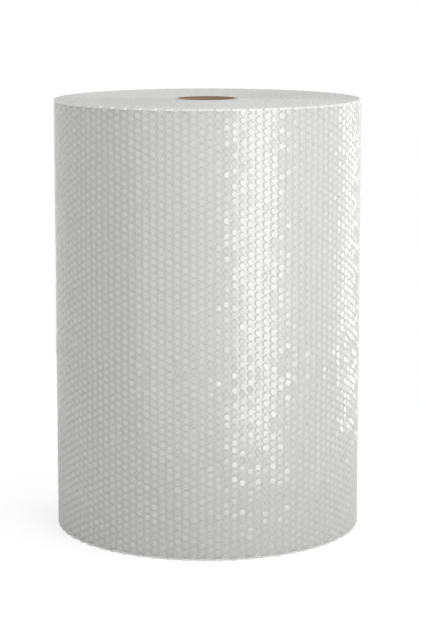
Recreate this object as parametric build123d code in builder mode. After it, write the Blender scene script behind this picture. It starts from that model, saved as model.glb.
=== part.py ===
"""A roll of bubble film standing on its end: the wound web and the cardboard tube that it is wound on.

Units are millimetres, with +Z up. The origin is the middle of the tube's bore at the roll's lower end.
"""
from build123d import *
import os

# Driving dimensions
FILM_WIDTH = 600.0  # length of the roll along its axis
ROLL_DIAMETER = 427.0  # over the bubble tops of the last turn, taken as the mean of that turn
WEB_THICKNESS = 4.0  # one turn of the web: its bubbles and the films that close them
CORE_BORE = 80.0  # inside diameter of the tube
CORE_WALL = 3.0  # wall of the tube
CORE_LENGTH = FILM_WIDTH  # the tube is cut flush with the film
FREE_END_ANGLE = 110.0  # where the web ends, in degrees from +X: behind the roll

# The first turn lies on the outside of the tube.
CORE_DIAMETER = CORE_BORE + 2 * CORE_WALL

# Over the last turn the outside falls by one web, from the free end to the same place under it.
FREE_END_RADIUS = ROLL_DIAMETER / 2 + WEB_THICKNESS / 2
QUARTER_DROP = WEB_THICKNESS / 4


def last_turn():
    """The outside of the last turn: four quarter arcs, each a quarter of a web tighter than the one before.

    Their centres are the corners of a small square about the roll's axis, so every arc leaves the one
    before it without a kink. The turn starts at the free end, on +Y, and runs clockwise seen from above.
    """
    half = QUARTER_DROP / 2
    centres = [(-half, half), (half, half), (half, -half), (-half, -half)]
    for quarter, centre in enumerate(centres):
        CenterArc(
            center=centre,
            radius=FREE_END_RADIUS - half - quarter * QUARTER_DROP,
            start_angle=90 - 90 * quarter,
            arc_size=-90,
        )


# The tube: spiral-wound cardboard, cut square at both ends.
with BuildPart() as core_tube:
    with BuildSketch():
        Circle(CORE_DIAMETER / 2)
        Circle(CORE_BORE / 2, mode=Mode.SUBTRACT)
    extrude(amount=CORE_LENGTH)

# The web: all of its turns as one solid, from the tube out to the bubble tops, with the step at the free end.
with BuildPart() as bubble_film:
    with BuildSketch(Plane.XY.rotated((0, 0, FREE_END_ANGLE - 90))):
        with BuildLine() as outline:
            last_turn()
            turn = outline.wire()
            Line(turn @ 1, turn @ 0)
        make_face()
        Circle(CORE_DIAMETER / 2, mode=Mode.SUBTRACT)
    extrude(amount=FILM_WIDTH)

core_tube.part.label = "core_tube"
bubble_film.part.label = "bubble_film"

os.makedirs("parts", exist_ok=True)
export_step(core_tube.part, "parts/core_tube.step")
export_step(bubble_film.part, "parts/bubble_film.step")
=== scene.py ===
"""The looks of a roll of small-bubble packing film on a cardboard tube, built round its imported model.

The visible film is one web wound in a spiral, so every part of it is placed by the same rule: how far
along the web a point is, how high up the roll, and how far above the base film.
"""
import math
import bpy
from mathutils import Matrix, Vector


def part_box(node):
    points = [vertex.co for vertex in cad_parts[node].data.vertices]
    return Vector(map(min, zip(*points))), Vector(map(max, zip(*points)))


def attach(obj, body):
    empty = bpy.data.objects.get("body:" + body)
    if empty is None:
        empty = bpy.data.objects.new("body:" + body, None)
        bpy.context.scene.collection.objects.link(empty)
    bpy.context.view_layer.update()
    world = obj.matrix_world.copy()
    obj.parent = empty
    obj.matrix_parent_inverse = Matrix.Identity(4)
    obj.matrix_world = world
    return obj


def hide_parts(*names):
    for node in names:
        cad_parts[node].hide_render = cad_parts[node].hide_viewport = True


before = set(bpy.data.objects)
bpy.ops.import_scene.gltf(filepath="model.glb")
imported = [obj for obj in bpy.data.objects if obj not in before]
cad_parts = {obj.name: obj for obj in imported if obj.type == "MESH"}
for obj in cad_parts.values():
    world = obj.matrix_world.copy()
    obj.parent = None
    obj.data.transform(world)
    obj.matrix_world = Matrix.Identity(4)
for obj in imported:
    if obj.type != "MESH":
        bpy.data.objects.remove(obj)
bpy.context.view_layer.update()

bl_info = {
    "name": "Bubble Film Roll",
    "version": (1, 0, 0),
    "blender": (4, 5, 0),
    "location": "View3D > Sidebar > Roll",
    "description": "Builds the film, the cut ends and the cardboard tube of a roll of bubble film",
    "category": "Add Mesh",
}

MM = 0.001
BODY = "root"
FILM_NODE = "bubble_film"
TUBE_NODE = "core_tube"

EDGE_HOLD = 30 * MM  # rows stop wandering this near to a slit edge
BAND_LEVEL = 255 * MM  # middle of the creased band round the roll
BAND_REACH = 40 * MM  # half of the band's height
BAND_GAIN = 1.6  # how much more the bubbles are creased there
WELD = 0.05 * MM  # corners of neighbouring cells nearer than this are one
SHEET_DROP = 0.15 * MM  # the base film lies this far under the formed film
FILM_EDGE = 0.35 * MM  # width of a slit edge, drawn wider than the film so that it shows
POCKET_DEPTH = 2.2 * MM  # how deep one sees into a cut bubble
TURN_GAP_DEPTH = 3.0 * MM  # how deep one sees between two turns
BUBBLE_LAYERS_SEEN = 4.0  # glossy skins of one bubble, one behind the other


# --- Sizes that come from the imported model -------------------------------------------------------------


def farthest(node):
    """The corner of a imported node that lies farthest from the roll's axis."""
    return max((v.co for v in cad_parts[node].data.vertices), key=lambda co: co.xy.length)


def nearest(node):
    """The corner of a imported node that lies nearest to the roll's axis."""
    return min((v.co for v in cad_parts[node].data.vertices), key=lambda co: co.xy.length)


FREE_END = farthest(FILM_NODE)
FREE_END_RADIUS = FREE_END.xy.length
FREE_END_ANGLE = math.atan2(FREE_END.y, FREE_END.x)
TUBE_RADIUS = farthest(TUBE_NODE).xy.length
BORE_RADIUS = nearest(TUBE_NODE).xy.length
ROLL_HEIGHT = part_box(FILM_NODE)[1].z


# --- Settings that a user may change --------------------------------------------------------------------


class FilmSettings(bpy.types.PropertyGroup):
    web: bpy.props.FloatProperty(
        name="Web", description="Thickness of one turn", default=4.0 * MM, unit="LENGTH")
    column_pitch: bpy.props.FloatProperty(
        name="Column Pitch", description="From one column of bubbles to the next, along the web",
        default=10.65 * MM, unit="LENGTH")
    row_pitch: bpy.props.FloatProperty(
        name="Row Pitch", description="From one bubble to the next in a column", default=10.0 * MM,
        unit="LENGTH")
    bubble_radius: bpy.props.FloatProperty(
        name="Bubble Radius", description="Radius of a bubble at its foot", default=4.75 * MM,
        unit="LENGTH")
    bubble_height: bpy.props.FloatProperty(
        name="Bubble Height", description="Height of a bubble above the base film", default=3.75 * MM,
        unit="LENGTH")
    lean: bpy.props.FloatProperty(
        name="Lean", description="How far the flat top of a bubble may lean, as a slope", default=0.12)
    swell: bpy.props.FloatProperty(
        name="Swell", description="How much the bubbles differ in height", default=0.06,
        subtype="FACTOR")
    crinkle: bpy.props.FloatProperty(
        name="Crinkle", description="Height of the small creases in the bubbles", default=0.35 * MM,
        unit="LENGTH")
    wave: bpy.props.FloatProperty(
        name="Wave", description="How far the outer turn stands in and out", default=1.2 * MM,
        unit="LENGTH")
    drift: bpy.props.FloatProperty(
        name="Drift", description="How far the rows and columns wander", default=2.5 * MM,
        unit="LENGTH")
    sectors: bpy.props.IntProperty(
        name="Sectors", description="Pieces that the outer turn is made in", default=4)
    columns: bpy.props.IntProperty(
        name="Columns", description="Columns of bubbles in each piece", default=32)
    seed: bpy.props.IntProperty(name="Seed", description="Start of all random numbers", default=7)


class FinishSettings(bpy.types.PropertyGroup):
    mass_tone: bpy.props.StringProperty(
        name="Turns", description="Colour of many turns of film seen through each other",
        default="ECECEB")
    mottle_tone: bpy.props.StringProperty(
        name="Turns, Darker", description="Darker patches of the wound turns", default="E0E0DF")
    edge_tone: bpy.props.StringProperty(
        name="Cut Edge", description="Colour of the cut edges of the film", default="FAFAF9")
    board_tone: bpy.props.StringProperty(
        name="Board", description="Colour of the tube's paperboard", default="C8B299")
    fibre_tone: bpy.props.StringProperty(
        name="Board Fibres", description="Colour of the board's darker fibres", default="AE9982")
    board_edge_tone: bpy.props.StringProperty(
        name="Board Edge", description="Colour of the tube's cut edge", default="E6DCCB")


class StudioSettings(bpy.types.PropertyGroup):
    distance: bpy.props.FloatProperty(
        name="Distance", description="From the roll's axis to the camera", default=2.784,
        unit="LENGTH")
    height: bpy.props.FloatProperty(
        name="Height", description="Height of the camera", default=0.787, unit="LENGTH")
    tilt: bpy.props.FloatProperty(
        name="Tilt", description="How far the camera looks down", default=math.radians(8.25),
        subtype="ANGLE")
    aside: bpy.props.FloatProperty(
        name="Aside", description="How far the camera stands to the right", default=4.9 * MM,
        unit="LENGTH")
    lens: bpy.props.FloatProperty(name="Lens", description="Focal length in mm", default=114.3)
    shift: bpy.props.FloatProperty(
        name="Shift", description="Upward shift of the lens", default=-0.1)
    table: bpy.props.FloatProperty(
        name="Table", description="Radius of the round table", default=0.8, unit="LENGTH")
    lamp_distance: bpy.props.FloatProperty(
        name="Lamp Distance", description="From the roll's axis to the softboxes", default=2.2,
        unit="LENGTH")
    lamp_height: bpy.props.FloatProperty(
        name="Lamp Height", description="Height of the softboxes' middles", default=0.2,
        unit="LENGTH")
    key_bearing: bpy.props.FloatProperty(
        name="Key Bearing", description="How far right of the camera the key softbox stands",
        default=math.radians(36), subtype="ANGLE")
    key_strength: bpy.props.FloatProperty(
        name="Key", description="Radiance of the key softbox", default=1.6)
    rim_bearing: bpy.props.FloatProperty(
        name="Rim Bearing", description="How far right of the camera the rim softbox stands",
        default=math.radians(130), subtype="ANGLE")
    rim_strength: bpy.props.FloatProperty(
        name="Rim", description="Radiance of the rim softbox", default=1.55)
    fill: bpy.props.FloatProperty(
        name="Fill", description="Level of the light from all round", default=0.66)


# --- Helpers --------------------------------------------------------------------------------------------


def add(tree, kind, inputs=None, **settings):
    """Adds a node with its settings, and links or sets its inputs. An input may be a value, a socket, or
    a node, which stands for its first output."""
    node = tree.nodes.new(kind)
    for name, value in settings.items():
        setattr(node, name, value)
    for key, value in (inputs or {}).items():
        if isinstance(value, bpy.types.Node):
            value = value.outputs[0]
        if isinstance(value, bpy.types.NodeSocket):
            tree.links.new(value, node.inputs[key])
        else:
            node.inputs[key].default_value = value
    return node


def linear(code):
    """A colour written as an sRGB hex code, as the linear colour that shaders take."""
    parts = [int(code[i : i + 2], 16) / 255 for i in (0, 2, 4)]
    return [c / 12.92 if c <= 0.04045 else ((c + 0.055) / 1.055) ** 2.4 for c in parts] + [1.0]


def new_tree(name, inputs, outputs):
    """A Geometry Nodes tree with named inputs and outputs: (name, kind of socket, default)."""
    tree = bpy.data.node_groups.new(name, "GeometryNodeTree")
    for label, kind, default in inputs:
        socket = tree.interface.new_socket(label, in_out="INPUT", socket_type=kind)
        if default is not None:
            socket.default_value = default
    for label, kind in outputs:
        tree.interface.new_socket(label, in_out="OUTPUT", socket_type=kind)
    return tree, tree.nodes.new("NodeGroupInput"), tree.nodes.new("NodeGroupOutput")


def grow(name, tree, values):
    """A mesh object made by a Geometry Nodes tree with these inputs, as a plain mesh."""
    host = bpy.data.objects.new(name + "_host", bpy.data.meshes.new(name + "_host"))
    bpy.context.scene.collection.objects.link(host)
    modifier = host.modifiers.new("Grow", "NODES")
    modifier.node_group = tree
    for item in tree.interface.items_tree:
        if item.item_type == "SOCKET" and item.in_out == "INPUT" and item.name in values:
            modifier[item.identifier] = values[item.name]
    made = host.evaluated_get(bpy.context.evaluated_depsgraph_get())
    mesh = bpy.data.meshes.new_from_object(made)
    bpy.data.objects.remove(host)
    mesh.name = name
    piece = bpy.data.objects.new(name, mesh)
    bpy.context.scene.collection.objects.link(piece)
    return piece


def material(name):
    """An empty node material and its output."""
    made = bpy.data.materials.new(name)
    made.use_nodes = True
    made.node_tree.nodes.clear()
    return made, made.node_tree, made.node_tree.nodes.new("ShaderNodeOutputMaterial")


# --- Materials ------------------------------------------------------------------------------------------


def clear_film():
    """Blown low-density polyethylene film, formed hot into bubbles: clear, glossy and a little milky. The
    eye sees the lamps in it, and the turns below through it."""
    made, nodes, output = material("ldpe_bubble_film")
    place = add(nodes, "ShaderNodeTexCoord")
    # creases from winding, 2 to 3 mm apart
    creases = add(nodes, "ShaderNodeTexNoise", {"Vector": place.outputs["Object"], "Scale": 420.0,
                                               "Detail": 3.0, "Roughness": 0.6})
    bump = add(nodes, "ShaderNodeBump", {"Height": creases, "Distance": 0.12 * MM, "Strength": 1.0})
    gloss = add(nodes, "ShaderNodeBsdfGlossy", {"Roughness": 0.23, "Color": (1, 1, 1, 1),
                                                "Normal": bump})
    clear = add(nodes, "ShaderNodeBsdfTransparent", {"Color": linear("FEFEFE")})
    # each bubble shows four glossy skins, one behind the other, but never becomes a full mirror
    mirror = add(nodes, "ShaderNodeFresnel", {"IOR": 1.51, "Normal": bump})
    four = add(nodes, "ShaderNodeMath", {0: mirror, 1: BUBBLE_LAYERS_SEEN}, operation="MULTIPLY")
    limited = add(nodes, "ShaderNodeMath", {0: four, 1: 0.4}, operation="MINIMUM")
    film = add(nodes, "ShaderNodeMixShader", {0: limited, 1: clear, 2: gloss})
    white = add(nodes, "ShaderNodeBsdfDiffuse", {"Color": linear("F8F8F7")})
    through = add(nodes, "ShaderNodeBsdfTranslucent", {"Color": linear("F8F8F7")})
    haze = add(nodes, "ShaderNodeMixShader", {0: 0.5, 1: white, 2: through})
    skin = add(nodes, "ShaderNodeMixShader", {0: 0.12, 1: film, 2: haze})
    nodes.links.new(skin.outputs[0], output.inputs["Surface"])
    return made


def turn_mass(tone, mottle_tone):
    """Many turns of the same film under the outer one. Their bubbles scatter the light, so the roll
    looks pale grey and soft, with the next turn's bubbles just showing."""
    made, nodes, output = material("wound_film_turns")
    place = add(nodes, "ShaderNodeTexCoord")
    mottle = add(nodes, "ShaderNodeTexNoise", {"Vector": place.outputs["Object"], "Scale": 160.0,
                                              "Detail": 3.0})
    tint = add(nodes, "ShaderNodeMix", {0: mottle, 6: linear(tone), 7: linear(mottle_tone)},
               data_type="RGBA")
    body = add(nodes, "ShaderNodeBsdfPrincipled", {"Base Color": tint.outputs[2], "Roughness": 0.45,
                                                   "IOR": 1.51})
    nodes.links.new(body.outputs[0], output.inputs["Surface"])
    return made


def film_edges(tone):
    """The slit edges of the turns: the same film seen edge on, where it looks whiter and duller."""
    made, nodes, output = material("ldpe_slit_edges")
    body = add(nodes, "ShaderNodeBsdfPrincipled", {"Base Color": linear(tone), "Roughness": 0.4,
                                                   "IOR": 1.51})
    nodes.links.new(body.outputs[0], output.inputs["Surface"])
    return made


def paperboard(tone, fibre_tone, edge_tone):
    """Spiral-wound kraft paperboard: matt brown with fibres, and a paler sawn edge."""
    made, nodes, output = material("spiral_wound_paperboard")
    place = add(nodes, "ShaderNodeTexCoord")
    shape = add(nodes, "ShaderNodeNewGeometry")
    up = add(nodes, "ShaderNodeSeparateXYZ", {0: shape.outputs["Normal"]})
    steep = add(nodes, "ShaderNodeMath", {0: up.outputs["Z"]}, operation="ABSOLUTE")
    sawn = add(nodes, "ShaderNodeMath", {0: steep, 1: 0.7}, operation="GREATER_THAN")
    fibre = add(nodes, "ShaderNodeTexNoise", {"Vector": place.outputs["Object"], "Scale": 700.0,
                                             "Detail": 4.0})
    brown = add(nodes, "ShaderNodeMix", {0: fibre, 6: linear(tone), 7: linear(fibre_tone)},
                data_type="RGBA")
    tint = add(nodes, "ShaderNodeMix", {0: sawn, 6: brown.outputs[2], 7: linear(edge_tone)},
               data_type="RGBA")
    body = add(nodes, "ShaderNodeBsdfPrincipled", {"Base Color": tint.outputs[2], "Roughness": 0.85})
    nodes.links.new(body.outputs[0], output.inputs["Surface"])
    return made


# --- The rule that places the web -----------------------------------------------------------------------


def wound_length(radius, web):
    """How much web lies under this radius, from the tube out."""
    return math.pi * (radius**2 - TUBE_RADIUS**2) / web


def base_radius_at_end(film):
    """Radius of the base film at the web's free end."""
    return FREE_END_RADIUS - film.web


def winding(film):
    """A node group that takes a point of the flat web to its place in the roll."""
    tree, given, result = new_tree(
        "Winding",
        [("Along", "NodeSocketFloat", 0.0), ("Up", "NodeSocketFloat", 0.0),
         ("Above", "NodeSocketFloat", 0.0), ("Web", "NodeSocketFloat", film.web),
         ("Wave", "NodeSocketFloat", film.wave), ("Drift", "NodeSocketFloat", film.drift)],
        [("Position", "NodeSocketVector")])
    along, up, above, web = (given.outputs[n] for n in ("Along", "Up", "Above", "Web"))
    # rows and columns wander a little, but the slit edges stay straight
    flat = add(tree, "ShaderNodeCombineXYZ", {0: along, 1: up, 2: 0.0})
    wander = add(tree, "ShaderNodeTexNoise", {"Vector": flat, "Scale": 7.0, "Detail": 1.0})
    wander_parts = add(tree, "ShaderNodeSeparateXYZ", {0: wander.outputs["Color"]})
    sideways = add(tree, "ShaderNodeMath", {0: wander_parts.outputs[0], 1: 0.5}, operation="SUBTRACT")
    drift_along = add(tree, "ShaderNodeMath", {0: sideways, 1: given.outputs["Drift"]},
                      operation="MULTIPLY")
    along_now = add(tree, "ShaderNodeMath", {0: along, 1: drift_along}, operation="ADD")
    upward = add(tree, "ShaderNodeMath", {0: wander_parts.outputs[1], 1: 0.5}, operation="SUBTRACT")
    drift_up = add(tree, "ShaderNodeMath", {0: upward, 1: given.outputs["Drift"]},
                   operation="MULTIPLY")
    from_top = add(tree, "ShaderNodeMath", {0: ROLL_HEIGHT, 1: up}, operation="SUBTRACT")
    to_edge = add(tree, "ShaderNodeMath", {0: up, 1: from_top}, operation="MINIMUM")
    held = add(tree, "ShaderNodeMath", {0: to_edge, 1: EDGE_HOLD}, operation="DIVIDE", use_clamp=True)
    drift_held = add(tree, "ShaderNodeMath", {0: drift_up, 1: held}, operation="MULTIPLY")
    up_now = add(tree, "ShaderNodeMath", {0: up, 1: drift_held}, operation="ADD")
    # a spiral: the web under radius r is pi (r^2 - tube^2) / web long
    grown = add(tree, "ShaderNodeMath", {0: along_now, 1: web}, operation="MULTIPLY")
    share = add(tree, "ShaderNodeMath", {0: grown, 1: math.pi}, operation="DIVIDE")
    squared = add(tree, "ShaderNodeMath", {0: share, 1: TUBE_RADIUS**2}, operation="ADD")
    radius = add(tree, "ShaderNodeMath", {0: squared}, operation="SQRT")
    short = add(tree, "ShaderNodeMath", {0: base_radius_at_end(film), 1: radius},
                operation="SUBTRACT")
    turns = add(tree, "ShaderNodeMath", {0: short, 1: web}, operation="DIVIDE")
    back = add(tree, "ShaderNodeMath", {0: turns, 1: 2 * math.pi}, operation="MULTIPLY")
    angle = add(tree, "ShaderNodeMath", {0: FREE_END_ANGLE, 1: back}, operation="SUBTRACT")
    cosine = add(tree, "ShaderNodeMath", {0: angle}, operation="COSINE")
    sine = add(tree, "ShaderNodeMath", {0: angle}, operation="SINE")
    # the turns stand in and out by the wave
    x = add(tree, "ShaderNodeMath", {0: cosine, 1: radius}, operation="MULTIPLY")
    y = add(tree, "ShaderNodeMath", {0: sine, 1: radius}, operation="MULTIPLY")
    smooth = add(tree, "ShaderNodeCombineXYZ", {0: x, 1: y, 2: up_now})
    swing = add(tree, "ShaderNodeTexNoise", {"Vector": smooth, "Scale": 9.0, "Detail": 1.5})
    centred = add(tree, "ShaderNodeMath", {0: swing.outputs[0], 1: 0.5}, operation="SUBTRACT")
    out = add(tree, "ShaderNodeMath", {0: centred, 1: given.outputs["Wave"]}, operation="MULTIPLY")
    out_now = add(tree, "ShaderNodeMath", {0: out, 1: above}, operation="ADD")
    reach = add(tree, "ShaderNodeMath", {0: radius, 1: out_now}, operation="ADD")
    px = add(tree, "ShaderNodeMath", {0: cosine, 1: reach}, operation="MULTIPLY")
    py = add(tree, "ShaderNodeMath", {0: sine, 1: reach}, operation="MULTIPLY")
    place = add(tree, "ShaderNodeCombineXYZ", {0: px, 1: py, 2: up_now})
    tree.links.new(place.outputs[0], result.inputs["Position"])
    return tree


# --- The bubbles of the outer turn ----------------------------------------------------------------------


SEGMENTS = 12


def cell_side(film):
    """From a bubble's middle to the corner of its cell that points along the web."""
    return (film.column_pitch**2 + (film.row_pitch / 2) ** 2) / (2 * film.column_pitch)


def cell_near(film):
    """How far along the web the other corners of the cell lie."""
    return (film.column_pitch**2 - (film.row_pitch / 2) ** 2) / (2 * film.column_pitch)


def cell_outline(film):
    """The six corners of a bubble's cell and the middles of its sides, anticlockwise from +X."""
    half = film.row_pitch / 2
    side, near = cell_side(film), cell_near(film)
    corners = [(side, 0), (near, half), (-near, half), (-side, 0), (-near, -half), (near, -half)]
    points = []
    for corner, following in zip(corners, corners[1:] + corners[:1]):
        points.append(corner)
        points.append(((corner[0] + following[0]) / 2, (corner[1] + following[1]) / 2))
    return points


def bubble_section(film):
    """Rings of a bubble from its foot up, as radius and height: a steep wall, a shoulder, a flat top."""
    foot, tall = film.bubble_radius, film.bubble_height
    return [(foot, 0.0), (foot * 0.94, tall * 0.78), (foot * 0.8, tall * 0.965)]


def cell(name, film, first, last):
    """The film round one bubble, from segment first to segment last: flat to the cell's outline, then
    formed up into the bubble. X is along the web, Y up the roll and Z away from the base film."""
    steps = range(first, last + 1)
    rings = [[(*cell_outline(film)[k % SEGMENTS], 0.0) for k in steps]]
    for radius, height in bubble_section(film):
        turn = 2 * math.pi / SEGMENTS
        rings.append([(radius * math.cos(k * turn), radius * math.sin(k * turn), height) for k in steps])
    count = len(steps)
    points = [p for ring in rings for p in ring] + [(0.0, 0.0, film.bubble_height)]
    faces = []
    for ring in range(len(rings) - 1):
        for k in range(count - 1):
            a = ring * count + k
            faces.append((a, a + 1, a + 1 + count, a + count))
    top = (len(rings) - 1) * count
    faces += [(top + k, top + k + 1, len(points) - 1) for k in range(count - 1)]
    mesh = bpy.data.meshes.new(name)
    mesh.from_pydata(points, [], faces)
    mesh.shade_smooth()
    creased = {1, len(rings) - 1}
    for edge in mesh.edges:
        a, b = edge.vertices
        if a // count == b // count and a // count in creased and max(a, b) < len(points) - 1:
            edge.use_edge_sharp = True
    made = bpy.data.objects.new(name, mesh)
    bpy.context.scene.collection.objects.link(made)
    return made


def bubble_tree(film, wound):
    """A tree that lays out bubbles on the flat web, joins their cells, crinkles them and winds them up."""
    tree, given, result = new_tree(
        "Bubble Layer",
        [("Whole Cell", "NodeSocketObject", None), ("Upper Half", "NodeSocketObject", None),
         ("Lower Half", "NodeSocketObject", None), ("First Column", "NodeSocketInt", 0),
         ("Columns", "NodeSocketInt", film.columns), ("Rows", "NodeSocketInt", 60),
         ("End", "NodeSocketFloat", 1.0), ("Column Pitch", "NodeSocketFloat", film.column_pitch),
         ("Row Pitch", "NodeSocketFloat", film.row_pitch), ("Lean", "NodeSocketFloat", film.lean),
         ("Swell", "NodeSocketFloat", film.swell), ("Crinkle", "NodeSocketFloat", film.crinkle),
         ("Seed", "NodeSocketInt", film.seed), ("Material", "NodeSocketMaterial", None)],
        [("Geometry", "NodeSocketGeometry")])
    get = given.outputs
    sites = add(tree, "ShaderNodeMath", {0: get["Rows"], 1: 1.0}, operation="ADD")
    count = add(tree, "ShaderNodeMath", {0: sites, 1: get["Columns"]}, operation="MULTIPLY")
    index = add(tree, "GeometryNodeInputIndex")
    quotient = add(tree, "ShaderNodeMath", {0: index, 1: sites}, operation="DIVIDE")
    local_column = add(tree, "ShaderNodeMath", {0: quotient}, operation="FLOOR")
    row = add(tree, "ShaderNodeMath", {0: index, 1: sites}, operation="MODULO")
    column = add(tree, "ShaderNodeMath", {0: local_column, 1: get["First Column"]}, operation="ADD")
    odd = add(tree, "ShaderNodeMath", {0: column, 1: 2.0}, operation="MODULO")
    even = add(tree, "ShaderNodeMath", {0: 1.0, 1: odd}, operation="SUBTRACT")
    step = add(tree, "ShaderNodeMath", {0: column, 1: get["Column Pitch"]}, operation="MULTIPLY")
    last = add(tree, "ShaderNodeMath", {0: get["End"], 1: cell_side(film)}, operation="SUBTRACT")
    along = add(tree, "ShaderNodeMath", {0: last, 1: step}, operation="SUBTRACT")
    lowered = add(tree, "ShaderNodeMath", {0: even, 1: 0.5}, operation="MULTIPLY")
    place_up = add(tree, "ShaderNodeMath", {0: row, 1: lowered}, operation="SUBTRACT")
    up = add(tree, "ShaderNodeMath", {0: place_up, 1: get["Row Pitch"]}, operation="MULTIPLY")
    spot = add(tree, "ShaderNodeCombineXYZ", {0: along, 1: up, 2: 0.0})
    points = add(tree, "GeometryNodePoints", {"Count": count, "Position": spot})
    # which sites take a whole cell, and which one cut in half by the slitting knife
    above_first = add(tree, "ShaderNodeMath", {0: row, 1: 0.5}, operation="GREATER_THAN")
    below_last = add(tree, "ShaderNodeMath", {0: row, 1: get["Rows"]}, operation="LESS_THAN")
    fits = add(tree, "ShaderNodeMath", {0: below_last, 1: even}, operation="MAXIMUM")
    whole = add(tree, "ShaderNodeMath", {0: above_first, 1: fits}, operation="MULTIPLY")
    at_first = add(tree, "ShaderNodeMath", {0: 1.0, 1: above_first}, operation="SUBTRACT")
    at_last = add(tree, "ShaderNodeMath", {0: 1.0, 1: below_last}, operation="SUBTRACT")
    cut_low = add(tree, "ShaderNodeMath", {0: odd, 1: at_first}, operation="MULTIPLY")
    cut_high = add(tree, "ShaderNodeMath", {0: odd, 1: at_last}, operation="MULTIPLY")
    joined = add(tree, "GeometryNodeJoinGeometry")
    for label, chosen in (("Whole Cell", whole), ("Upper Half", cut_low), ("Lower Half", cut_high)):
        source = add(tree, "GeometryNodeObjectInfo", {"Object": get[label]})
        own = add(tree, "GeometryNodeInputPosition")
        marked = add(tree, "GeometryNodeStoreNamedAttribute",
                     {"Geometry": source.outputs["Geometry"], "Name": "in_cell", "Value": own},
                     data_type="FLOAT_VECTOR", domain="POINT")
        placed = add(tree, "GeometryNodeInstanceOnPoints",
                     {"Points": points, "Selection": chosen, "Instance": marked})
        tree.links.new(placed.outputs[0], joined.inputs[0])
    lean = get["Lean"]
    less = add(tree, "ShaderNodeMath", {0: lean, 1: -1.0}, operation="MULTIPLY")
    low = add(tree, "ShaderNodeCombineXYZ", {0: less, 1: less, 2: less})
    high = add(tree, "ShaderNodeCombineXYZ", {0: lean, 1: lean, 2: lean})
    slopes = add(tree, "FunctionNodeRandomValue", {"Min": low, "Max": high, "Seed": get["Seed"]},
                 data_type="FLOAT_VECTOR")
    leaning = add(tree, "GeometryNodeStoreNamedAttribute",
                  {"Geometry": joined, "Name": "slope", "Value": slopes},
                  data_type="FLOAT_VECTOR", domain="INSTANCE")
    one_mesh = add(tree, "GeometryNodeRealizeInstances", {"Geometry": leaning})
    welded = add(tree, "GeometryNodeMergeByDistance", {"Geometry": one_mesh, "Distance": WELD})
    # the height of each point above the base film
    in_cell = add(tree, "GeometryNodeInputNamedAttribute", {"Name": "in_cell"},
                  data_type="FLOAT_VECTOR")
    slope = add(tree, "GeometryNodeInputNamedAttribute", {"Name": "slope"}, data_type="FLOAT_VECTOR")
    own_parts = add(tree, "ShaderNodeSeparateXYZ", {0: in_cell})
    slope_parts = add(tree, "ShaderNodeSeparateXYZ", {0: slope})
    rise = own_parts.outputs[2]
    raised = add(tree, "ShaderNodeMath", {0: rise, 1: film.bubble_height}, operation="DIVIDE")
    lean_x = add(tree, "ShaderNodeMath", {0: own_parts.outputs[0], 1: slope_parts.outputs[0]},
                 operation="MULTIPLY")
    lean_y = add(tree, "ShaderNodeMath", {0: own_parts.outputs[1], 1: slope_parts.outputs[1]},
                 operation="MULTIPLY")
    lean_both = add(tree, "ShaderNodeMath", {0: lean_x, 1: lean_y}, operation="ADD")
    taller = add(tree, "ShaderNodeMath", {0: slope_parts.outputs[2], 1: lean}, operation="DIVIDE")
    swelling = add(tree, "ShaderNodeMath", {0: taller, 1: get["Swell"]}, operation="MULTIPLY")
    swollen = add(tree, "ShaderNodeMath", {0: swelling, 1: rise}, operation="MULTIPLY")
    spread = add(tree, "GeometryNodeInputPosition")
    creases = add(tree, "ShaderNodeTexNoise", {"Vector": spread, "Scale": 330.0, "Detail": 1.0})
    centred = add(tree, "ShaderNodeMath", {0: creases.outputs[0], 1: 0.5}, operation="SUBTRACT")
    creased = add(tree, "ShaderNodeMath", {0: centred, 1: get["Crinkle"]}, operation="MULTIPLY")
    edits = add(tree, "ShaderNodeMath", {0: lean_both, 1: creased}, operation="ADD")
    # a band round the roll's middle was pressed against something, and is more creased
    parts = add(tree, "ShaderNodeSeparateXYZ", {0: spread})
    off_band = add(tree, "ShaderNodeMath", {0: parts.outputs[1], 1: BAND_LEVEL}, operation="SUBTRACT")
    off_by = add(tree, "ShaderNodeMath", {0: off_band}, operation="ABSOLUTE")
    away = add(tree, "ShaderNodeMath", {0: off_by, 1: BAND_REACH}, operation="DIVIDE", use_clamp=True)
    in_band = add(tree, "ShaderNodeMath", {0: 1.0, 1: away}, operation="SUBTRACT")
    more = add(tree, "ShaderNodeMath", {0: in_band, 1: BAND_GAIN, 2: 1.0}, operation="MULTIPLY_ADD")
    stronger = add(tree, "ShaderNodeMath", {0: edits, 1: more}, operation="MULTIPLY")
    masked = add(tree, "ShaderNodeMath", {0: stronger, 1: raised}, operation="MULTIPLY")
    shaped = add(tree, "ShaderNodeMath", {0: rise, 1: masked}, operation="ADD")
    above = add(tree, "ShaderNodeMath", {0: shaped, 1: swollen}, operation="ADD")
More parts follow.
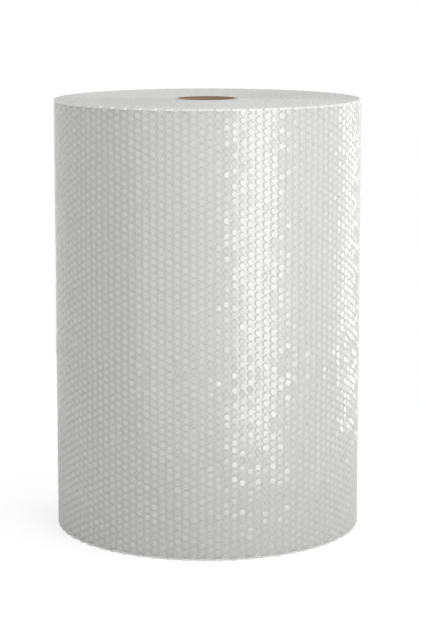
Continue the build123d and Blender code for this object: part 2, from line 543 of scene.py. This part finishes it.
    # the web is cut straight across at its free end
    margin = cell_side(film) - cell_near(film) + 0.1 * MM
    last_strip = add(tree, "ShaderNodeMath", {0: get["End"], 1: margin}, operation="SUBTRACT")
    in_strip = add(tree, "ShaderNodeMath", {0: parts.outputs[0], 1: last_strip},
                   operation="GREATER_THAN")
    cut = add(tree, "GeometryNodeSwitch", {"Switch": in_strip, "False": parts.outputs[0],
                                          "True": get["End"]}, input_type="FLOAT")
    turned = add(tree, "GeometryNodeGroup", node_tree=wound)
    tree.links.new(cut.outputs[0], turned.inputs["Along"])
    tree.links.new(parts.outputs[1], turned.inputs["Up"])
    tree.links.new(above.outputs[0], turned.inputs["Above"])
    rolled = add(tree, "GeometryNodeSetPosition", {"Geometry": welded, "Position": turned})
    bare = rolled
    for name in ("in_cell", "slope"):
        bare = add(tree, "GeometryNodeRemoveAttribute", {"Geometry": bare, "Name": name})
    finished = add(tree, "GeometryNodeSetMaterial", {"Geometry": bare, "Material": get["Material"]})
    tree.links.new(finished.outputs[0], result.inputs["Geometry"])
    return tree


class ROLL_OT_bubble_layer(bpy.types.Operator):
    """Makes the formed film of the outer turn, with its bubbles, in sectors"""

    bl_idname = "roll.bubble_layer"
    bl_label = "Bubble Layer"

    def execute(self, context):
        film = context.scene.roll_film
        cells = {
            "Whole Cell": cell("whole_cell", film, 0, SEGMENTS),
            "Upper Half": cell("upper_half_cell", film, 0, SEGMENTS // 2),
            "Lower Half": cell("lower_half_cell", film, SEGMENTS // 2, SEGMENTS),
        }
        tree = bubble_tree(film, winding(film))
        skin = clear_film()
        end = wound_length(base_radius_at_end(film), film.web)
        rows = round(ROLL_HEIGHT / film.row_pitch)
        for sector in range(film.sectors):
            piece = grow(f"bubble_layer_{sector + 1}", tree, {
                **cells, "First Column": sector * film.columns, "Columns": film.columns,
                "Rows": rows, "End": end, "Seed": film.seed + sector, "Material": skin})
            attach(piece, BODY)
        for source in cells.values():
            bpy.data.objects.remove(source)
        return {"FINISHED"}


# --- The wound mass under the outer bubbles -------------------------------------------------------------


def mass_tree(film, wound):
    """A tree that makes the base film of the outer turn as a spiral sheet."""
    tree, given, result = new_tree(
        "Turns",
        [("End", "NodeSocketFloat", 1.0), ("Length", "NodeSocketFloat", 1.0),
         ("Height", "NodeSocketFloat", 1.0), ("Steps Along", "NodeSocketInt", 256),
         ("Steps Up", "NodeSocketInt", 61), ("Material", "NodeSocketMaterial", None)],
        [("Geometry", "NodeSocketGeometry")])
    get = given.outputs
    sheet = add(tree, "GeometryNodeMeshGrid", {"Size X": get["Length"], "Size Y": get["Height"],
                                               "Vertices X": get["Steps Along"],
                                               "Vertices Y": get["Steps Up"]})
    parts = add(tree, "ShaderNodeSeparateXYZ", {0: add(tree, "GeometryNodeInputPosition")})
    half_length = add(tree, "ShaderNodeMath", {0: get["Length"], 1: 0.5}, operation="MULTIPLY")
    middle = add(tree, "ShaderNodeMath", {0: get["End"], 1: half_length}, operation="SUBTRACT")
    along = add(tree, "ShaderNodeMath", {0: parts.outputs[0], 1: middle}, operation="ADD")
    half_height = add(tree, "ShaderNodeMath", {0: get["Height"], 1: 0.5}, operation="MULTIPLY")
    up = add(tree, "ShaderNodeMath", {0: parts.outputs[1], 1: half_height}, operation="ADD")
    turned = add(tree, "GeometryNodeGroup", node_tree=wound)
    tree.links.new(along.outputs[0], turned.inputs["Along"])
    tree.links.new(up.outputs[0], turned.inputs["Up"])
    turned.inputs["Above"].default_value = -SHEET_DROP
    rolled = add(tree, "GeometryNodeSetPosition", {"Geometry": sheet, "Position": turned})
    soft = add(tree, "GeometryNodeSetShadeSmooth", {"Geometry": rolled})
    real = add(tree, "GeometryNodeRealizeInstances", {"Geometry": soft})
    finished = add(tree, "GeometryNodeSetMaterial", {"Geometry": real, "Material": get["Material"]})
    tree.links.new(finished.outputs[0], result.inputs["Geometry"])
    return tree


class ROLL_OT_turns(bpy.types.Operator):
    """Makes the turns that show through the outer bubbles, as one sheet"""

    bl_idname = "roll.turns"
    bl_label = "Turns"

    def execute(self, context):
        film, finish = context.scene.roll_film, context.scene.roll_finish
        tree = mass_tree(film, winding(film))
        end = wound_length(base_radius_at_end(film), film.web)
        length = film.sectors * film.columns * film.column_pitch
        piece = grow("wound_turns", tree, {
            "End": end, "Length": length, "Height": ROLL_HEIGHT,
            "Material": turn_mass(finish.mass_tone, finish.mottle_tone)})
        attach(piece, BODY)
        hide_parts(FILM_NODE)
        return {"FINISHED"}


# --- The two cut ends -----------------------------------------------------------------------------------


def end_tree(film, wound):
    """A tree that makes the cut end of the roll: the slit edge of the base film, turn after turn, with
    the cut bubbles standing on it and the pockets between."""
    tree, given, result = new_tree(
        "Roll End",
        [("End", "NodeSocketFloat", 1.0), ("Outer Turn", "NodeSocketFloat", 1.0),
         ("Samples", "NodeSocketInt", 100), ("Column Pitch", "NodeSocketFloat", film.column_pitch),
         ("Level", "NodeSocketFloat", ROLL_HEIGHT),
         ("Inward", "NodeSocketFloat", -1.0), ("Telescope", "NodeSocketFloat", 1.2 * MM),
         ("Material", "NodeSocketMaterial", None)],
        [("Geometry", "NodeSocketGeometry")])
    get = given.outputs
    sheet = add(tree, "GeometryNodeMeshGrid", {"Size X": 1.0, "Size Y": 1.0,
                                               "Vertices X": get["Samples"], "Vertices Y": 9})
    index = add(tree, "GeometryNodeInputIndex")
    quotient = add(tree, "ShaderNodeMath", {0: index, 1: 9.0}, operation="DIVIDE")
    sample = add(tree, "ShaderNodeMath", {0: quotient}, operation="FLOOR")
    across = add(tree, "ShaderNodeMath", {0: index, 1: 9.0}, operation="MODULO")
    # six samples for each cut bubble, and one cut bubble for every two columns
    shifted = add(tree, "ShaderNodeMath", {0: sample, 1: 5.0}, operation="ADD")
    sixth = add(tree, "ShaderNodeMath", {0: shifted, 1: 6.0}, operation="DIVIDE")
    pair = add(tree, "ShaderNodeMath", {0: sixth}, operation="FLOOR")
    corner = add(tree, "ShaderNodeMath", {0: shifted, 1: 6.0}, operation="MODULO")
    # a cut bubble's outline, and the nine points that cross one turn
    foot, shoulder, top = bubble_section(film)
    half = FILM_EDGE / 2
    feet = [foot[0] + FILM_EDGE, shoulder[0], top[0]]
    heights = [FILM_EDGE, shoulder[1], top[1]]
    tables = []
    for chooser, values in (
            (corner, feet + [-v for v in reversed(feet)]),
            (corner, heights + heights[::-1]),
            (across, [-half, -half, half, half, -half, -half, half, half, film.web]),
            (across, [0.0, 0.0, 0.0, 0.0, 1.0, 1.0, 1.0, 1.0, 0.0]),
            (across, [TURN_GAP_DEPTH, 0.0, 0.0, POCKET_DEPTH, POCKET_DEPTH, 0.0, 0.0,
                      TURN_GAP_DEPTH, TURN_GAP_DEPTH])):
        table = add(tree, "GeometryNodeIndexSwitch", {"Index": chooser}, data_type="FLOAT")
        while len(table.index_switch_items) < len(values):
            table.index_switch_items.new()
        for k, value in enumerate(values):
            table.inputs[1 + k].default_value = value
        tables.append(table)
    hat_along, hat_height, fixed, of_hat, depth = tables
    doubled = add(tree, "ShaderNodeMath", {0: pair, 1: 2.0}, operation="MULTIPLY")
    column = add(tree, "ShaderNodeMath", {0: doubled, 1: 1.0}, operation="SUBTRACT")
    step = add(tree, "ShaderNodeMath", {0: column, 1: get["Column Pitch"]}, operation="MULTIPLY")
    last = add(tree, "ShaderNodeMath", {0: get["End"], 1: cell_side(film)}, operation="SUBTRACT")
    centre = add(tree, "ShaderNodeMath", {0: last, 1: step}, operation="SUBTRACT")
    along = add(tree, "ShaderNodeMath", {0: centre, 1: hat_along}, operation="ADD")
    hat_share = add(tree, "ShaderNodeMath", {0: of_hat, 1: hat_height}, operation="MULTIPLY")
    free_above = add(tree, "ShaderNodeMath", {0: fixed, 1: hat_share}, operation="ADD")
    # the outer turn has nothing outside its bubbles
    rim = add(tree, "ShaderNodeMath", {0: hat_height, 1: half}, operation="ADD")
    held = add(tree, "ShaderNodeMath", {0: free_above, 1: rim}, operation="MINIMUM")
    outer = add(tree, "ShaderNodeMath", {0: along, 1: get["Outer Turn"]}, operation="GREATER_THAN")
    wound_above = add(tree, "GeometryNodeSwitch", {"Switch": outer, "False": free_above,
                                                   "True": held}, input_type="FLOAT")
    # the first turn rises off the tube, and its foot closes the wedge that this leaves
    growth = add(tree, "ShaderNodeMath", {0: along, 1: film.web / math.pi, 2: TUBE_RADIUS**2},
                 operation="MULTIPLY_ADD")
    first_radius = add(tree, "ShaderNodeMath", {0: growth}, operation="SQRT")
    to_tube = add(tree, "ShaderNodeMath", {0: TUBE_RADIUS, 1: first_radius}, operation="SUBTRACT")
    in_first = add(tree, "ShaderNodeMath", {0: to_tube, 1: -1.1 * film.web},
                   operation="GREATER_THAN")
    at_foot = add(tree, "ShaderNodeMath", {0: across, 1: 0.5}, operation="LESS_THAN")
    closes = add(tree, "ShaderNodeMath", {0: in_first, 1: at_foot}, operation="MULTIPLY")
    above = add(tree, "GeometryNodeSwitch", {"Switch": closes, "False": wound_above,
                                             "True": to_tube}, input_type="FLOAT")
    # inner turns stand a little high or low
    spot = add(tree, "ShaderNodeMath", {0: along, 1: 3.0}, operation="MULTIPLY")
    slip = add(tree, "ShaderNodeTexNoise", {"W": spot, "Scale": 1.0, "Detail": 2.0},
               noise_dimensions="1D")
    slip_centred = add(tree, "ShaderNodeMath", {0: slip.outputs[0], 1: 0.5}, operation="SUBTRACT")
    slipped = add(tree, "ShaderNodeMath", {0: slip_centred, 1: get["Telescope"]},
                  operation="MULTIPLY")
    inner = add(tree, "ShaderNodeMath", {0: 1.0, 1: outer}, operation="SUBTRACT")
    slip_inner = add(tree, "ShaderNodeMath", {0: slipped, 1: inner}, operation="MULTIPLY")
    sunk = add(tree, "ShaderNodeMath", {0: depth, 1: slip_inner}, operation="ADD")
    signed = add(tree, "ShaderNodeMath", {0: sunk, 1: get["Inward"]}, operation="MULTIPLY")
    up = add(tree, "ShaderNodeMath", {0: get["Level"], 1: signed}, operation="ADD")
    turned = add(tree, "GeometryNodeGroup", node_tree=wound)
    tree.links.new(along.outputs[0], turned.inputs["Along"])
    tree.links.new(get["Level"], turned.inputs["Up"])
    tree.links.new(above.outputs[0], turned.inputs["Above"])
    flat_parts = add(tree, "ShaderNodeSeparateXYZ", {0: turned})
    place = add(tree, "ShaderNodeCombineXYZ", {0: flat_parts.outputs[0], 1: flat_parts.outputs[1],
                                              2: up})
    rolled = add(tree, "GeometryNodeSetPosition", {"Geometry": sheet, "Position": place})
    down = add(tree, "ShaderNodeMath", {0: get["Inward"], 1: 0.0}, operation="GREATER_THAN")
    facing = add(tree, "GeometryNodeFlipFaces", {"Mesh": rolled, "Selection": down})
    real = add(tree, "GeometryNodeRealizeInstances", {"Geometry": facing})
    finished = add(tree, "GeometryNodeSetMaterial", {"Geometry": real, "Material": get["Material"]})
    tree.links.new(finished.outputs[0], result.inputs["Geometry"])
    return tree


class ROLL_OT_ends(bpy.types.Operator):
    """Makes the upper and the lower cut end"""

    bl_idname = "roll.ends"
    bl_label = "Cut Ends"

    def execute(self, context):
        film, finish = context.scene.roll_film, context.scene.roll_finish
        tree = end_tree(film, winding(film))
        skin = film_edges(finish.edge_tone)
        base = base_radius_at_end(film)
        end = wound_length(base, film.web)
        outer = wound_length(base - film.web, film.web)
        pairs = int((end - cell_side(film)) / (2 * film.column_pitch))
        for name, level, inward in (("upper_end", ROLL_HEIGHT, -1.0), ("lower_end", 0.0, 1.0)):
            piece = grow(name, tree, {"End": end, "Outer Turn": outer, "Samples": 6 * pairs,
                                      "Level": level, "Inward": inward, "Material": skin})
            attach(piece, BODY)
        return {"FINISHED"}


# --- The tube -------------------------------------------------------------------------------------------


class ROLL_OT_tube(bpy.types.Operator):
    """Gives the tube its paperboard"""

    bl_idname = "roll.tube"
    bl_label = "Tube"

    def execute(self, context):
        finish = context.scene.roll_finish
        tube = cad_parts[TUBE_NODE]
        tube.data.materials.clear()
        tube.data.materials.append(
            paperboard(finish.board_tone, finish.fibre_tone, finish.board_edge_tone))
        return {"FINISHED"}


# --- The studio -----------------------------------------------------------------------------------------


def lamp(name, place, target, width, height, strength):
    """A rectangular softbox of this radiance, facing target."""
    data = bpy.data.lights.new(name, "AREA")
    data.shape = "RECTANGLE"
    data.size, data.size_y = width, height
    data.energy = strength * math.pi * width * height
    made = bpy.data.objects.new(name, data)
    made.location = place
    made.rotation_euler = (Vector(target) - Vector(place)).to_track_quat("-Z", "Y").to_euler()
    made.visible_camera = False
    bpy.context.scene.collection.objects.link(made)
    return made


class ROLL_OT_studio(bpy.types.Operator):
    """Makes the floor, the lamps, the world and the camera"""

    bl_idname = "roll.studio"
    bl_label = "Studio"

    def execute(self, context):
        studio = context.scene.roll_studio
        scene = context.scene
        scene.view_settings.view_transform = "Standard"
        mesh = bpy.data.meshes.new("floor")
        # a round table, so that the softboxes can reach below its level
        rim_points = [2 * math.pi * k / 96 for k in range(96)]
        mesh.from_pydata([(studio.table * math.cos(a), studio.table * math.sin(a), 0)
                          for a in rim_points], [], [tuple(range(96))])
        floor = bpy.data.objects.new("floor", mesh)
        scene.collection.objects.link(floor)
        made, nodes, output = material("white_paper_sweep")
        seen = add(nodes, "ShaderNodeLightPath")
        matt = add(nodes, "ShaderNodeBsdfDiffuse", {"Color": linear("F0F0F0")})
        lift = add(nodes, "ShaderNodeMath", {0: seen.outputs["Is Camera Ray"], 1: 0.46},
                   operation="MULTIPLY")
        glow = add(nodes, "ShaderNodeEmission", {"Color": (1, 1, 1, 1), "Strength": lift})
        paper = add(nodes, "ShaderNodeAddShader", {0: matt, 1: glow})
        nodes.links.new(paper.outputs[0], output.inputs["Surface"])
        mesh.materials.append(made)
        # the world is white to the camera, in reflections and through clear things
        world = bpy.data.worlds.new("studio")
        scene.world = world
        world.use_nodes = True
        nodes = world.node_tree
        nodes.nodes.clear()
        path = add(nodes, "ShaderNodeLightPath")
        direct = add(nodes, "ShaderNodeMath", {0: path.outputs["Is Camera Ray"],
                                              1: path.outputs["Is Glossy Ray"]},
                     operation="MAXIMUM")
        white = add(nodes, "ShaderNodeMath", {0: direct, 1: path.outputs["Is Transmission Ray"]},
                    operation="MAXIMUM")
        level = add(nodes, "ShaderNodeMath", {0: white, 1: 1 - studio.fill, 2: studio.fill},
                    operation="MULTIPLY_ADD")
        sky = add(nodes, "ShaderNodeBackground", {"Color": (1, 1, 1, 1), "Strength": level})
        out = add(nodes, "ShaderNodeOutputWorld", {"Surface": sky})
        middle = (0, 0, ROLL_HEIGHT / 2)
        for name, bearing, width, strength in (
                ("key_softbox", studio.key_bearing, 1.3, studio.key_strength),
                ("rim_softbox", studio.rim_bearing, 0.7, studio.rim_strength)):
            place = (studio.lamp_distance * math.sin(bearing),
                     -studio.lamp_distance * math.cos(bearing), studio.lamp_height)
            lamp(name, place, middle, width, 2.8, strength)
        # a grey card that keeps the left side of the roll darker and calm
        card_mesh = bpy.data.meshes.new("grey_card")
        card_mesh.from_pydata([(-1.5, 1.6, -0.6), (-1.5, -1.2, -0.6), (-1.5, -1.2, 2.0),
                               (-1.5, 1.6, 2.0)], [], [(0, 1, 2, 3)])
        card = bpy.data.objects.new("grey_card", card_mesh)
        scene.collection.objects.link(card)
        made, nodes, output = material("matt_grey_card")
        matt = add(nodes, "ShaderNodeBsdfDiffuse", {"Color": linear("DADADA")})
        nodes.links.new(matt.outputs[0], output.inputs["Surface"])
        card_mesh.materials.append(made)
        card.visible_camera = False
        data = bpy.data.cameras.new("camera")
        data.lens = studio.lens
        data.sensor_width = 36.0
        data.shift_y = studio.shift
        camera = bpy.data.objects.new("camera", data)
        camera.location = (studio.aside, -studio.distance, studio.height)
        camera.rotation_euler = (math.radians(90) - studio.tilt, 0, 0)
        scene.collection.objects.link(camera)
        scene.camera = camera
        return {"FINISHED"}


class VIEW3D_PT_roll(bpy.types.Panel):
    bl_label = "Bubble Film Roll"
    bl_space_type = "VIEW_3D"
    bl_region_type = "UI"
    bl_category = "Roll"

    def draw(self, context):
        scene = context.scene
        for group in (scene.roll_film, scene.roll_finish, scene.roll_studio):
            box = self.layout.box()
            for name in group.__annotations__:
                box.prop(group, name)
        for operator in OPERATORS:
            self.layout.operator(operator.bl_idname)


OPERATORS = (ROLL_OT_turns, ROLL_OT_bubble_layer, ROLL_OT_ends, ROLL_OT_tube, ROLL_OT_studio)
GROUPS = {"roll_film": FilmSettings, "roll_finish": FinishSettings, "roll_studio": StudioSettings}
CLASSES = (*GROUPS.values(), *OPERATORS, VIEW3D_PT_roll)


def register():
    for item in CLASSES:
        bpy.utils.register_class(item)
    for name, group in GROUPS.items():
        setattr(bpy.types.Scene, name, bpy.props.PointerProperty(type=group))


def unregister():
    for name in GROUPS:
        delattr(bpy.types.Scene, name)
    for item in reversed(CLASSES):
        bpy.utils.unregister_class(item)


def main():
    register()
    bpy.ops.roll.turns()
    bpy.ops.roll.bubble_layer()
    bpy.ops.roll.ends()
    bpy.ops.roll.tube()
    bpy.ops.roll.studio()


if __name__ == "__main__":
    main()
